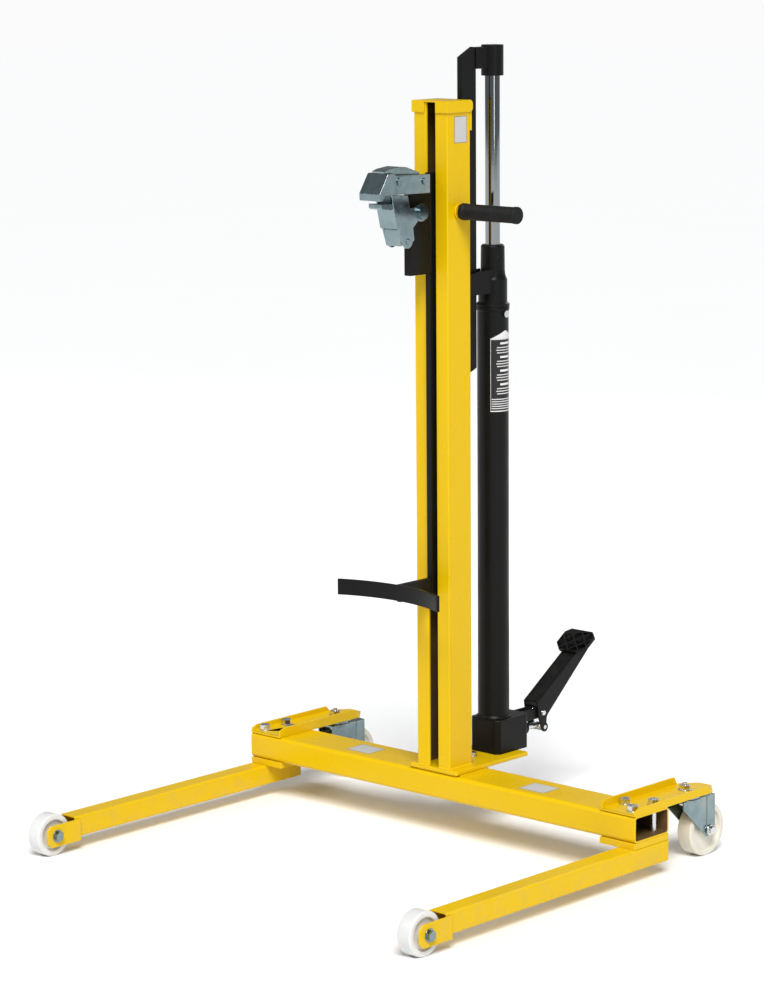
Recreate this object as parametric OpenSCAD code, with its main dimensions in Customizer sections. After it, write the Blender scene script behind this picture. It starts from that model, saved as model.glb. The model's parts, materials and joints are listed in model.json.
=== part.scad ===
// Hydraulic foot-pump drum lifter: a straddle frame on wheels, a mast of two facing channels,
// and a carriage with a rim clamp and a cradle bar, raised by a long ram jack behind the mast.
// Millimetres. +Z is up, the straddle legs reach towards -Y, the foot pump is at +Y.
// The origin is on the floor, under the middle of the whole machine.

/* [Cross beam] */
// Length of the cross beam, left to right
beam_w = 974; // [900:2:1100]
// Depth of the cross beam, front to back
beam_d = 100; // [96:1:104]
// Height of the cross beam tube
beam_h = 50; // [48:1:54]
// Wall of the cross beam tube
beam_t = 4; // [3:0.5:5]
// Outer corner radius of the cross beam tube
beam_r = 8; // [6:0.5:9]

/* [Legs and front wheels] */
// Reach of the front axle ahead of the beam
leg_reach = 558; // [480:2:640]
// Side of the square leg tube
leg_s = 40; // [38:1:42]
// Wall of the leg tube
leg_t = 3; // [2.5:0.5:4]
// Height of the leg tube's underside above the floor
leg_z = 26; // [24:1:28]
// Thickness of the plate between a leg and the beam
leg_plate_t = 12; // [10:1:14]
// Diameter of a front wheel
front_wheel_d = 80; // [76:1:84]
// Width of a front wheel's tread
front_wheel_w = 30; // [26:1:32]

/* [Casters] */
// Diameter of a rear caster wheel
caster_wheel_d = 100; // [96:1:104]
// Width of a caster wheel's tread
caster_wheel_w = 32; // [28:1:34]
// Distance of the caster axle behind its swivel axis
caster_trail = 47; // [38:1:48]
// Angle of the casters about their swivel axes, as they stand at rest
caster_yaw = -1; // [-10:1:10]
// Distance of the swivel axes behind the beam's front face
caster_back = 201; // [200:1:205]

/* [Mast] */
// Height of the mast's top above the floor
mast_top = 1393; // [1385:1:1420]
// Depth of each mast channel, front to back
mast_d = 64; // [62:1:68]
// Width of each mast channel
channel_w = 30; // [28:1:34]
// Wall of the mast channels
channel_t = 5; // [4.5:0.5:6]
// Width of the slot between the two channels
slot_w = 22; // [20:1:26]

/* [Carriage] */
// Thickness of the carriage bar and of the lift arm
bar_t = 12; // [10:1:12]
// Height of the carriage bar's lower end
bar_low = 455; // [452:1:470]
// Height of the carriage bar's upper end
bar_high = 1265; // [1255:1:1268]
// Radius of the drum that the cradle fits
drum_r = 295; // [285:1:305]
// Height of the cradle bar's lower edge
cradle_z = 476; // [472:1:490]

/* [Jack] */
// Distance of the jack's axis behind the beam's front face
jack_back = 176; // [174:1:180]
// Diameter of the ram rod
rod_d = 28; // [26:1:30]
// Angle of the pump pedal above the horizontal at rest
pedal_angle = 34; // [30:1:38]

/* [Hidden] */
$fn = 48;

yellow = "#f2c21b";
black = "#1c1d1d";
zinc = "#a9b4ba";
chrome = "#d5d9dc";
nylon = "#ece9de";
rubber = "#151515";
bronze = "#9c7a3c";

fit = 0.05;              // radial clearance of a running fit
hole_gap = 0.5;          // radial clearance of a bolt hole
apart = 0.3;             // gap between bodies that move past each other

// Foot pump, in its lever's own frame: s runs along the lever, n stands square to it
pivot_back = jack_back + 128;
pivot_z = 192;
lever_len = 195;
lever_top = 29;
lever_tip = 12.5;
lever_half_w = 18;
lever_t = 4;
pad_len = 58;
pad_w = 75;
pad_t = 8.5;
pump_roller_r = 8;
pump_roller_s = -12.2;
pump_roller_n = -28;

// The origin is midway between the front of the front wheels and the pedal's outer end
pedal_end = pivot_back + lever_len * cos(pedal_angle) - lever_tip * sin(pedal_angle);
beam_y = (leg_reach + front_wheel_d / 2 - pedal_end) / 2;

beam_z = leg_z + leg_s + leg_plate_t;
beam_top = beam_z + beam_h;
leg_x = beam_w / 2 - leg_s / 2;
front_axle_y = beam_y - leg_reach;
front_axle_z = front_wheel_d / 2;
fork_t = 4;
fork_h = 42;
fork_reach = 24;
fork_lap = 11;
leg_end_y = front_axle_y + front_wheel_d / 2 + 8;
leg_plate_w = 81;
axle_r = 6;

plate_w = 80;
plate_t = 4;
plate_l = 262;
inner_flange_h = 19;
outer_flange_h = 14;
flange_start = 1;
flange_end = 226;
plate_x = beam_w / 2 - plate_w / 2;
plate_z = beam_top;
caster_y = beam_y + caster_back;
caster_x = plate_x - 1;
crown_z = plate_z - 15;
crown_t = 4;
race_z = plate_z - 9;
race_r = 29;
cheek_t = 3;
cheek_x = caster_wheel_w / 2 + 2;
king_r = 6;
bolt_r = 6;
bolt_places = [[beam_w / 2 - 20, 20], [beam_w / 2 - 20, 80], [beam_w / 2 - 62, 50]];

spacer_t = 3;
base_t = 8;
base_w = 120;
base_d = 209;
base_top = beam_top + spacer_t + base_t;
base_bolt_back = 113;
base_bolt_r = 5;
mast_front = beam_y + 2;
mast_y = mast_front + mast_d / 2;
mast_back = mast_front + mast_d;
mast_half_w = slot_w / 2 + channel_w;
tie_t = 5;
tie_h = 53;
cap_t = 3;
handle_z = 1193;
handle_end = 184;

bar_front = beam_y - 7;
arm_front = beam_y + 83;
arm_back = beam_y + 123;
arm_low = 890;
arm_high = 1490;
web_low = 862;
web_high = bar_high - 2;
bar_back = mast_y + 16;
guide_r = mast_d / 2 - channel_t - 0.4;
guide_w = 18;
guide_x = slot_w / 2 + channel_w - channel_t - 1 - guide_w;
guide_low_z = 500;
guide_high_z = 1228;

jack_y = beam_y + jack_back;
block_half_w = 37;
block_cut = 8;
block_front = beam_y + 146;
block_back = beam_y + 240;
block_top = 206;
tube_r = 30;
tube_bore = 27.2;
tube_top = 1002;
bleed_z = tube_top - 13;
bleed_r = 4;
bleed_head_r = 6.5;
collar_r = 27.5;
collar_top = 1057;
neck_r = 23;
neck_top = 1119;
guide_bush_r = 20;
head_r = 21;
head_low = 1435;
head_high = 1492;
piston_low = 540;
piston_h = 40;
pump_z = 167;
plunger_r = 6;
plunger_tip = beam_y + pivot_back + pump_roller_s * cos(pedal_angle)
    - pump_roller_n * sin(pedal_angle) - pump_roller_r - 0.5;
pump_sleeve_r = 14;
pump_mouth = beam_y + 266;
pivot_y = beam_y + pivot_back;

bracket_t = 16;
bracket_front = beam_y - 63;
bracket_low = 1079;
bracket_high = 1260;
beak_half_w = 25.5;
jaw_half_w = 21;
clamp_t = 4;
beak_pivot = [beam_y - 44, 1252.7];
jaw_pivot = [beam_y - 46.4, 1195];
rivet_at = [beam_y - 109.5, 1255.4];
lobe_at = [beam_y - 84, 1145];
beak_pin_r = 5.5;
jaw_pin_r = 7;
beak_boss_r = 9;
jaw_boss_r = 10;
lip_half_w = 16;
cradle_face = beam_y - 99;
cradle_h = 30;
cradle_t = 6;
cradle_half_angle = 25;

// ---- helpers -------------------------------------------------------------------------

// Flat rectangle with round corners, centred
module round_rect(w, h, r) {
    square([w, h - 2 * r], center = true);
    square([w - 2 * r, h], center = true);
    for (i = [-1, 1], j = [-1, 1]) {
        translate([i * (w / 2 - r), j * (h / 2 - r)]) circle(r = r);
    }
}

// Plate standing in the Y-Z plane, of thickness t, with its middle at x; its outline is a child
module side_plate(t, x = 0) {
    translate([x, 0, 0]) rotate([90, 0, 90]) linear_extrude(height = t, center = true) children();
}

// Round bar along X from x0 to x1
module bar_x(r, x0, x1, y, z) {
    translate([x0, y, z]) rotate([0, 90, 0]) cylinder(r = r, h = x1 - x0);
}

// Round bar along Y from y0 to y1
module bar_y(r, y0, y1, x, z) {
    translate([x, y0, z]) rotate([-90, 0, 0]) cylinder(r = r, h = y1 - y0);
}

// Tube of round section along X
module ring_x(r_out, r_in, x0, x1, y, z) {
    difference() {
        bar_x(r_out, x0, x1, y, z);
        bar_x(r_in, x0 - 1, x1 + 1, y, z);
    }
}

// Tube of round section along Z, standing at the origin
module ring_z(r_out, r_in, h) {
    difference() {
        cylinder(r = r_out, h = h);
        translate([0, 0, -1]) cylinder(r = r_in, h = h + 2);
    }
}

// Hexagon head, or nut, standing on z = 0 with its washer below it
module hex_head(af, h, washer_r) {
    cylinder(r = washer_r, h = 2);
    translate([0, 0, 2]) cylinder(d = af / cos(30), h = h, $fn = 6);
}

module both_sides() {
    children();
    mirror([1, 0, 0]) children();
}

// ---- floor frame ---------------------------------------------------------------------

module cross_beam() {
    color(yellow) difference() {
        translate([0, beam_y + beam_d / 2, beam_z + beam_h / 2]) rotate([90, 0, 90])
            difference() {
                linear_extrude(height = beam_w, center = true) round_rect(beam_d, beam_h, beam_r);
                linear_extrude(height = beam_w + 2, center = true)
                    round_rect(beam_d - 2 * beam_t, beam_h - 2 * beam_t, beam_r - beam_t);
            }
        both_sides() for (p = bolt_places) {
            translate([p[0], beam_y + p[1], beam_z - 1])
                cylinder(r = bolt_r + hole_gap, h = beam_h + 2);
        }
    }
}

module leg_tube() {
    translate([leg_x, 0, leg_z + leg_s / 2]) rotate([90, 0, 0])
        translate([0, 0, -(beam_y + beam_d)]) difference() {
            linear_extrude(height = beam_y + beam_d - leg_end_y) round_rect(leg_s, leg_s, 3.5);
            translate([0, 0, 4]) linear_extrude(height = beam_d + leg_reach)
                round_rect(leg_s - 2 * leg_t, leg_s - 2 * leg_t, 1);
        }
}

module right_leg_tube() {
    color(yellow) leg_tube();
}

module left_leg_tube() {
    color(yellow) mirror([1, 0, 0]) leg_tube();
}

module leg_plates() {
    color(yellow) both_sides() difference() {
        translate([beam_w / 2 - leg_plate_w, beam_y, beam_z - leg_plate_t])
            cube([leg_plate_w, beam_d, leg_plate_t]);
        for (p = bolt_places) {
            translate([p[0], beam_y + p[1], beam_z - leg_plate_t - 1])
                cylinder(r = bolt_r + fit, h = leg_plate_t + 2);
        }
    }
}

// Cheek beside a front wheel, lapped onto the side of the leg, its two front corners cut off
module wheel_cheek() {
    cut = 9;
    y0 = front_axle_y - fork_reach;
    y1 = leg_end_y + fork_lap;
    z0 = front_axle_z - fork_h / 2;
    z1 = front_axle_z + fork_h / 2;
    side_plate(fork_t, leg_s / 2 + fork_t / 2) difference() {
        polygon([[y0 + cut, z0], [y1, z0], [y1, z1], [y0 + cut, z1], [y0, z1 - cut], [y0, z0 + cut]]);
        translate([front_axle_y, front_axle_z]) circle(r = axle_r + hole_gap);
    }
}

module wheel_fork_cheeks() {
    color(yellow) both_sides() translate([leg_x, 0, 0]) both_sides() wheel_cheek();
}

// Bolt with a nut, lying along X with its middle at the origin, clamping the faces at +-half
module axle_bolt(r, half, af = 16.8) {
    bar_x(r, -half, half, 0, 0);
    for (side = [0, 1]) {
        mirror([side, 0, 0]) translate([half, 0, 0]) rotate([0, 90, 0]) hex_head(af, 6, 0.72 * af);
    }
}

module front_axles() {
    color(zinc) both_sides() translate([leg_x, front_axle_y, front_axle_z])
        axle_bolt(axle_r, leg_s / 2 + fork_t);
}

// Wheel about the X axis at the origin: tread band, dished sides and a hub that stands proud
module wheel(d, w, hub_w, hub_r) {
    rim = d / 2 - 12;
    dish = w / 2 - 6;
    edge = 2;
    rotate([0, 90, 0]) rotate_extrude() polygon([
        [axle_r + fit, -hub_w / 2], [hub_r, -hub_w / 2], [hub_r + 1, -dish],
        [rim, -dish], [rim + 1.5, -w / 2], [d / 2 - edge, -w / 2],
        [d / 2, -w / 2 + edge], [d / 2, w / 2 - edge], [d / 2 - edge, w / 2],
        [rim + 1.5, w / 2], [rim, dish], [hub_r + 1, dish],
        [hub_r, hub_w / 2], [axle_r + fit, hub_w / 2]
    ]);
}

module front_wheel() {
    translate([leg_x, front_axle_y, front_axle_z])
        wheel(front_wheel_d, front_wheel_w, leg_s - 2 * apart, 12);
}

module right_front_wheel() {
    color(nylon) front_wheel();
}

module left_front_wheel() {
    color(nylon) mirror([1, 0, 0]) front_wheel();
}

// ---- caster plates and casters -------------------------------------------------------

module caster_flange(x, h) {
    side_plate(plate_t, x) translate([beam_y, plate_z]) polygon([
        [flange_start, 0], [flange_end, 0], [flange_end - 10, h - 1],
        [flange_end - 13, h], [flange_start + 14, h], [flange_start, h - 5]
    ]);
}

module caster_plate() {
    cut_x = 26;
    cut_y = 30;
    difference() {
        union() {
            translate([plate_x, beam_y, plate_z]) linear_extrude(height = plate_t) polygon([
                [-plate_w / 2, 0], [plate_w / 2, 0], [plate_w / 2, plate_l - cut_y],
                [plate_w / 2 - cut_x, plate_l], [-plate_w / 2 + cut_x, plate_l],
                [-plate_w / 2, plate_l - cut_y]
            ]);
            caster_flange(plate_x - plate_w / 2 + plate_t / 2, inner_flange_h);
            caster_flange(plate_x + plate_w / 2 - plate_t / 2, outer_flange_h);
        }
        for (p = bolt_places) {
            translate([p[0], beam_y + p[1], plate_z - 1]) cylinder(r = bolt_r + hole_gap, h = 40);
        }
        translate([caster_x, caster_y, plate_z - 1]) cylinder(r = king_r + hole_gap, h = plate_t + 2);
    }
}

module right_caster_plate() {
    color(yellow) caster_plate();
}

module left_caster_plate() {
    color(yellow) mirror([1, 0, 0]) caster_plate();
}

module leg_bolts() {
    color(chrome) both_sides() for (p = bolt_places) {
        translate([p[0], beam_y + p[1], 0]) {
            translate([0, 0, beam_z - leg_plate_t])
                cylinder(r = bolt_r, h = plate_z - beam_z + leg_plate_t + plate_t);
            translate([0, 0, plate_z + plate_t]) hex_head(18.5, 9.5, 11);
        }
    }
}

// Fixed cup of the caster's ball race, pressed up against the caster plate
module caster_heads() {
    color(zinc) both_sides() translate([caster_x, caster_y, 0]) {
        difference() {
            union() {
                translate([0, 0, plate_z - 4]) cylinder(r = race_r + 4, h = 4);
                translate([0, 0, race_z]) cylinder(r = race_r - 1, h = 6);
            }
            translate([0, 0, race_z - 1]) cylinder(r = king_r + fit, h = 12);
        }
    }
}

module caster_king_bolts() {
    nut_h = 7;
    color(chrome) both_sides() translate([caster_x, caster_y, 0]) {
        translate([0, 0, plate_z + plate_t]) {
            hex_head(19, 8, 13);
            cylinder(r = king_r - 1, h = 14);
        }
        translate([0, 0, crown_z - apart - 2 - nut_h])
            cylinder(r = king_r, h = plate_z + plate_t - crown_z + apart + 2 + nut_h);
        translate([0, 0, crown_z - apart - 2]) cylinder(r = 12, h = 2);
        translate([0, 0, crown_z - apart - 2 - nut_h]) cylinder(d = 19 / cos(30), h = nut_h, $fn = 6);
    }
}

// Swivelling fork about the Z axis at the origin, its wheel trailing towards +Y
module caster_fork() {
    axle_z = caster_wheel_d / 2;
    front = -race_r;
    foot = 12;
    band_w = 23;
    band_t = 1.5;
    back = caster_trail + 15;
    width = 2 * (cheek_x + cheek_t);
    difference() {
        union() {
            translate([-width / 2, front, crown_z]) cube([width, back - front, crown_t]);
            translate([0, 0, crown_z]) cylinder(r = race_r, h = race_z - apart - crown_z);
            for (side = [-1, 1]) {
                side_plate(cheek_t, side * (cheek_x + cheek_t / 2)) {
                    polygon([[front, crown_z + crown_t], [back, crown_z + crown_t],
                             [back, axle_z - foot + 3], [back - 3, axle_z - foot],
                             [caster_trail - 7, axle_z - foot], [front, crown_z - 11]]);
                }
                side_plate(band_t, side * (cheek_x + cheek_t + band_t / 2))
                    translate([back - band_w, axle_z - foot + 3])
                    square([band_w, crown_z + crown_t - axle_z + foot - 3]);
            }
        }
        translate([0, 0, crown_z - 1]) cylinder(r = king_r + fit, h = 14);
        bar_x(axle_r + fit, -width, width, caster_trail, axle_z);
    }
}

module at_right_caster() {
    translate([caster_x, caster_y, 0]) rotate([0, 0, caster_yaw]) children();
}

module at_left_caster() {
    translate([-caster_x, caster_y, 0]) rotate([0, 0, caster_yaw]) children();
}

module right_caster_fork() {
    color(zinc) at_right_caster() caster_fork();
}

module left_caster_fork() {
    color(zinc) at_left_caster() caster_fork();
}

module caster_wheel() {
    translate([0, caster_trail, caster_wheel_d / 2])
        wheel(caster_wheel_d, caster_wheel_w, 2 * (cheek_x - apart), 14);
}

module right_caster_wheel() {
    color(nylon) at_right_caster() caster_wheel();
}

module left_caster_wheel() {
    color(nylon) at_left_caster() caster_wheel();
}

module caster_axle() {
    translate([0, caster_trail, caster_wheel_d / 2]) axle_bolt(axle_r, cheek_x + cheek_t + 1.5, 14);
}

module right_caster_axle() {
    color(chrome) at_right_caster() caster_axle();
}

module left_caster_axle() {
    color(chrome) at_left_caster() caster_axle();
}

// ---- mast ----------------------------------------------------------------------------

// Base plate of the mast and jack, with the thinner packing plate it stands on
module base_plate() {
    color(yellow) difference() {
        union() {
            translate([0, beam_y + base_d / 2, beam_top + spacer_t]) linear_extrude(height = base_t)
                round_rect(base_w, base_d, 4);
            translate([0, beam_y + beam_d / 2, beam_top]) linear_extrude(height = spacer_t)
                square([base_w - 8, beam_d - 8], center = true);
        }
        translate([0, beam_y + base_bolt_back, beam_top]) cylinder(r = base_bolt_r + hole_gap, h = 20);
    }
}

module base_bolt() {
    color(chrome) translate([0, beam_y + base_bolt_back, base_top]) {
        hex_head(15, 6, 9);
        translate([0, 0, -base_t]) {
            cylinder(r = base_bolt_r, h = base_t + 1);
            mirror([0, 0, 1]) hex_head(15, 7, 9);
        }
    }
}

module column() {
    x_mid = slot_w / 2 + channel_w / 2;
    translate([0, 0, base_top]) linear_extrude(height = mast_top - base_top) difference() {
        translate([x_mid, mast_y]) round_rect(channel_w, mast_d, 2.2);
        translate([x_mid - channel_t, mast_y]) square([channel_w, mast_d - 2 * channel_t], center = true);
    }
}

module right_column() {
    color(yellow) column();
}

module left_column() {
    color(yellow) mirror([1, 0, 0]) column();
}

// Folded cap: top sheet, a flap down each side, and a short tab in front of each column
module mast_cap() {
    flap_h = 22;
    side_x = mast_half_w + cap_t / 2;
    color(yellow) {
        translate([-mast_half_w - cap_t, mast_front - cap_t, mast_top])
            cube([2 * (mast_half_w + cap_t), mast_d + cap_t, cap_t]);
        both_sides() {
            side_plate(cap_t, side_x) {
                translate([mast_front - cap_t, mast_top + cap_t - flap_h])
                    square([mast_d + cap_t - 1, flap_h]);
                translate([mast_back - 3, mast_top + cap_t - 8]) circle(r = 8);
                translate([mast_back - 3, mast_top + cap_t - flap_h + 8]) circle(r = 8);
                translate([mast_back - 3, mast_top + cap_t - flap_h + 8]) square([8, flap_h - 16]);
            }
            translate([slot_w / 2 + 3, mast_front - cap_t, mast_top + cap_t - flap_h])
                cube([mast_half_w + cap_t - slot_w / 2 - 3, cap_t, flap_h]);
        }
    }
}

module mast_tie() {
    color(yellow) translate([-mast_half_w, mast_back, mast_top - tie_h])
        cube([2 * mast_half_w, tie_t, tie_h]);
}

module handle_bar() {
    color(yellow) {
        bar_x(10, mast_half_w, handle_end - 6, mast_y, handle_z);
        bar_x(14, mast_half_w, mast_half_w + 4, mast_y, handle_z);
    }
}

// Rubber grip, closed at its outer end, with a thicker ring at each end
module handle_grip() {
    x0 = mast_half_w + 10;
    color(rubber) difference() {
        union() {
            bar_x(14.5, x0, handle_end, mast_y, handle_z);
            bar_x(15.8, x0, x0 + 8, mast_y, handle_z);
            bar_x(15.8, handle_end - 8, handle_end - 1, mast_y, handle_z);
        }
        bar_x(10, x0 - 1, handle_end - 6, mast_y, handle_z);
    }
}

// ---- jack, fixed parts ---------------------------------------------------------------

module pump_ear(x) {
    side_plate(5, x) {
        translate([pivot_y, pivot_z]) circle(r = 11);
        translate([block_back - 20, pivot_z - 11]) square([pivot_y - block_back + 20, 22]);
    }
}

module jack_block() {
    color(black) difference() {
        union() {
            translate([0, 0, base_top]) linear_extrude(height = block_top - base_top) polygon([
                [-block_half_w + block_cut, block_front], [block_half_w - block_cut, block_front],
                [block_half_w, block_front + block_cut], [block_half_w, block_back - block_cut],
                [block_half_w - block_cut, block_back], [-block_half_w + block_cut, block_back],
                [-block_half_w, block_back - block_cut], [-block_half_w, block_front + block_cut]
            ]);
            pump_ear(10);
            pump_ear(-10);
        }
        bar_y(pump_sleeve_r + fit, block_back - 52, block_back + 1, 0, pump_z);
        bar_x(axle_r + fit, -40, 40, pivot_y, pivot_z);
        bar_x(6 + fit, -block_half_w - 1, -block_half_w + 25, block_back - 18, 172);
    }
}

module jack_tube() {
    color(black) translate([0, jack_y, block_top]) difference() {
        union() {
            cylinder(r = tube_r, h = tube_top - block_top);
            translate([0, 0, tube_top - block_top - 7]) cylinder(r = tube_r + 1.5, h = 7);
            cylinder(r = tube_r + 2, h = 5);
        }
        translate([0, 0, 6]) cylinder(r = tube_bore, h = tube_top);
        bar_x(bleed_r, 0, tube_r + 5, 0, bleed_z - block_top);
    }
}

// Gland screwed on the tube: collar, slimmer neck, and the seat of the guide bush
module jack_gland() {
    bore = rod_d / 2 + 0.6;
    lip = neck_top - 8;
    color(black) translate([0, jack_y, 0]) difference() {
        rotate_extrude() polygon([
            [guide_bush_r, tube_top], [tube_r + 2, tube_top], [tube_r + 2, tube_top + 5],
            [collar_r, tube_top + 9], [collar_r, collar_top - 3], [collar_r - 2, collar_top],
            [neck_r + 1, collar_top + 4], [neck_r, collar_top + 14], [neck_r - 0.5, neck_top - 3],
            [neck_r - 3, neck_top], [bore, neck_top], [bore, lip], [guide_bush_r, lip]
        ]);
        rotate([0, 0, -32]) translate([neck_r - 1.5, 0, neck_top - 17]) rotate([0, 90, 0])
            cylinder(r = 7, h = 10);
    }
}

module rod_guide() {
    color(bronze) translate([0, jack_y, tube_top])
        ring_z(guide_bush_r, rod_d / 2 + fit, neck_top - tube_top - 8);
}

// Two plates from the mast to the gland's collar and neck, one each side of the lift arm
module jack_stay() {
    low = 1029;
    color(black) difference() {
        for (side = [-1, 1]) {
            side_plate(5, side * 14) polygon([
                [mast_back, low], [jack_y - 12, low], [jack_y - 12, 1075], [mast_back, 1068]
            ]);
        }
        translate([0, jack_y, low - 10]) cylinder(r = collar_r, h = collar_top - low + 10);
        translate([0, jack_y, low]) cylinder(r = neck_r + 1.5, h = 60);
    }
}

module bleed_screw() {
    color(chrome) {
        bar_x(bleed_r, tube_bore + 1, tube_r + 4, jack_y, bleed_z);
        bar_x(bleed_head_r, tube_r + 2, tube_r + 5, jack_y, bleed_z);
    }
}

module pump_cylinder() {
    color(black) difference() {
        bar_y(pump_sleeve_r, block_back - 51, pump_mouth, 0, pump_z);
        bar_y(plunger_r + fit, block_back - 47, pump_mouth + 1, 0, pump_z);
    }
}

module pedal_pin() {
    end = lever_half_w + apart;
    color(chrome) translate([0, pivot_y, pivot_z]) {
        bar_x(axle_r, -end, end, 0, 0);
        bar_x(axle_r - 1, -end - 2, end + 2, 0, 0);
    }
}

// Return spring: a coil round the pedal pin between the ears, made as turns that touch
module pedal_spring() {
    turns = 4;
    wire_r = 1.7;
    color(chrome) translate([-(turns - 1) * wire_r * 0.96, pivot_y, pivot_z]) rotate([0, 90, 0])
        rotate_extrude() for (i = [0 : turns - 1]) {
            translate([9, i * 2 * wire_r * 0.96]) circle(r = wire_r, $fn = 16);
        }
}

// ---- foot pump, moving parts ---------------------------------------------------------

module at_lever() {
    translate([0, pivot_y, pivot_z]) rotate([pedal_angle, 0, 0]) children();
}

module lever_cheek(x) {
    side_plate(lever_t, x) difference() {
        union() {
            polygon([[-2, lever_top], [lever_len, lever_top], [lever_len, lever_tip], [12, -12],
                     [0, -15], [-15, 0]]);
            polygon([[-15, 0], [15, 0], [pump_roller_s + 8, pump_roller_n + 4],
                     [pump_roller_s - 8.5, pump_roller_n + 3]]);
            circle(r = 15);
            translate([pump_roller_s, pump_roller_n]) circle(r = 9);
        }
        circle(r = axle_r + fit);
        translate([pump_roller_s, pump_roller_n]) circle(r = 4);
    }
}

module pedal_lever() {
    x = lever_half_w - lever_t / 2;
    color(black) at_lever() {
        lever_cheek(x);
        lever_cheek(-x);
        translate([-lever_half_w + 1, 2, lever_top - lever_t - 1])
            cube([2 * lever_half_w - 2, lever_len - 4, lever_t]);
    }
}

module pedal_pad() {
    cut = 11;
    low_cut = 16;
    half = pad_w / 2;
    rib = 1.6;
    rib_h = 0.8;
    color(black) at_lever() translate([0, lever_len - pad_len, lever_top]) {
        linear_extrude(height = pad_t - rib_h) polygon([
            [-half + low_cut, 0], [half - low_cut, 0], [half, low_cut], [half, pad_len - cut],
            [half - cut, pad_len], [-half + cut, pad_len], [-half, pad_len - cut], [-half, low_cut]
        ]);
        intersection() {
            translate([0, 0, pad_t - 2]) linear_extrude(height = 2) for (a = [-45, 45], i = [-1, 0, 1]) {
                translate([i * 26, pad_len / 2]) rotate(a) square([rib, 110], center = true);
            }
            linear_extrude(height = pad_t) polygon([
                [-half + low_cut, 1], [half - low_cut, 1], [half - 1, low_cut],
                [half - 1, pad_len - cut], [half - cut, pad_len - 1], [-half + cut, pad_len - 1],
                [-half + 1, pad_len - cut], [-half + 1, low_cut]
            ]);
        }
    }
}

module pump_roller() {
    between = lever_half_w - lever_t - 0.2;
    color(chrome) at_lever() {
        bar_x(pump_roller_r, -between, between, pump_roller_s, pump_roller_n);
        bar_x(4, -lever_half_w, lever_half_w, pump_roller_s, pump_roller_n);
    }
}

module pump_plunger() {
    color(chrome) bar_y(plunger_r, block_back - 24, plunger_tip, 0, pump_z);
}

// Release spindle with a small foot lever, on the left side of the block
module release_valve() {
    y = block_back - 18;
    z = 172;
    color(black) {
        bar_x(6, -block_half_w - 14, -block_half_w + 22, y, z);
        bar_x(9, -block_half_w - 14, -block_half_w - apart, y, z);
        translate([0, y, z]) side_plate(5, -block_half_w - 10) {
            circle(r = 9);
            translate([0, -5]) square([48, 10]);
            translate([48, 0]) circle(r = 5);
        }
    }
}

// ---- carriage ------------------------------------------------------------------------

module carriage_bar() {
    color(black) difference() {
        side_plate(bar_t) translate([bar_front, bar_low])
            square([bar_back - bar_front, bar_high - bar_low]);
        for (z = [guide_low_z, guide_high_z]) {
            bar_x(8, -20, 20, mast_y, z);
        }
    }
}

// Arm behind the mast: its lower web passes through the rear slot and meets the carriage bar
module lift_arm() {
    color(black) side_plate(bar_t) polygon([
        [bar_back, web_low], [arm_back, arm_low], [arm_back, arm_high - 3],
        [arm_back - 4, arm_high], [arm_front, arm_high - 18],
        [arm_front, web_high], [bar_back, web_high]
    ]);
}

module ram_head() {
    lug_low = head_low + 14;
    color(black) difference() {
        union() {
            translate([0, jack_y, head_low]) cylinder(r = head_r, h = head_high - head_low);
            side_plate(16) translate([arm_back, lug_low])
                square([jack_y - arm_back, head_high - lug_low - 3]);
        }
        translate([0, jack_y, head_low - 1]) cylinder(r = rod_d / 2, h = 42);
    }
}

module ram_rod() {
    low = piston_low + piston_h;
    color(chrome) translate([0, jack_y, 0]) {
        translate([0, 0, low]) cylinder(r = rod_d / 2, h = head_low + 41 - low);
        translate([0, 0, piston_low + 4]) cylinder(r = 9, h = piston_h);
    }
}

seal_low = piston_low + 9;
seal_step = 14;
seal_h = 6;
seal_depth = 4;

module ram_piston() {
    color(zinc) translate([0, jack_y, 0]) difference() {
        translate([0, 0, piston_low]) cylinder(r = tube_bore - 0.1, h = piston_h);
        translate([0, 0, piston_low + 4]) cylinder(r = 9, h = piston_h);
        for (i = [0, 1]) {
            translate([0, 0, seal_low + i * seal_step])
                ring_z(tube_bore + 5, tube_bore - seal_depth, seal_h);
        }
    }
}

module piston_seals() {
    color(rubber) translate([0, jack_y, 0]) for (i = [0, 1]) {
        translate([0, 0, seal_low + i * seal_step]) ring_z(tube_bore - fit, tube_bore - seal_depth, seal_h);
    }
}

module clamp_bracket() {
    in_jaw = jaw_half_w - clamp_t - apart;
    in_beak = beak_half_w - clamp_t - apart;
    color(black) difference() {
        union() {
            side_plate(bracket_t) translate([bracket_front, bracket_low])
                square([bar_front - bracket_front, bracket_high - bracket_low]);
            bar_x(beak_boss_r, -in_beak, in_beak, beak_pivot[0], beak_pivot[1]);
            bar_x(jaw_boss_r, -in_jaw, in_jaw, jaw_pivot[0], jaw_pivot[1]);
        }
        bar_x(beak_pin_r, -40, 40, beak_pivot[0], beak_pivot[1]);
        bar_x(jaw_pin_r, -40, 40, jaw_pivot[0], jaw_pivot[1]);
    }
}

module clamp_pins() {
    beak_end = beak_half_w + 3;
    jaw_end = jaw_half_w + 7;
    color(zinc) {
        bar_x(beak_pin_r, -beak_end, beak_end, beak_pivot[0], beak_pivot[1]);
        translate([0, jaw_pivot[0], jaw_pivot[1]]) {
            bar_x(jaw_pin_r, -jaw_end, jaw_end, 0, 0);
            both_sides() bar_x(12, jaw_half_w + apart, jaw_end, 0, 0);
        }
    }
}

// Curved flat bar whose hollow side takes the drum; the drum's axis is ahead of it
module drum_cradle() {
    color(black) translate([0, cradle_face - drum_r, cradle_z]) rotate([0, 0, 90 - cradle_half_angle])
        rotate_extrude(angle = 2 * cradle_half_angle, $fn = 180)
        translate([drum_r, 0]) square([cradle_t, cradle_h]);
}

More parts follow.
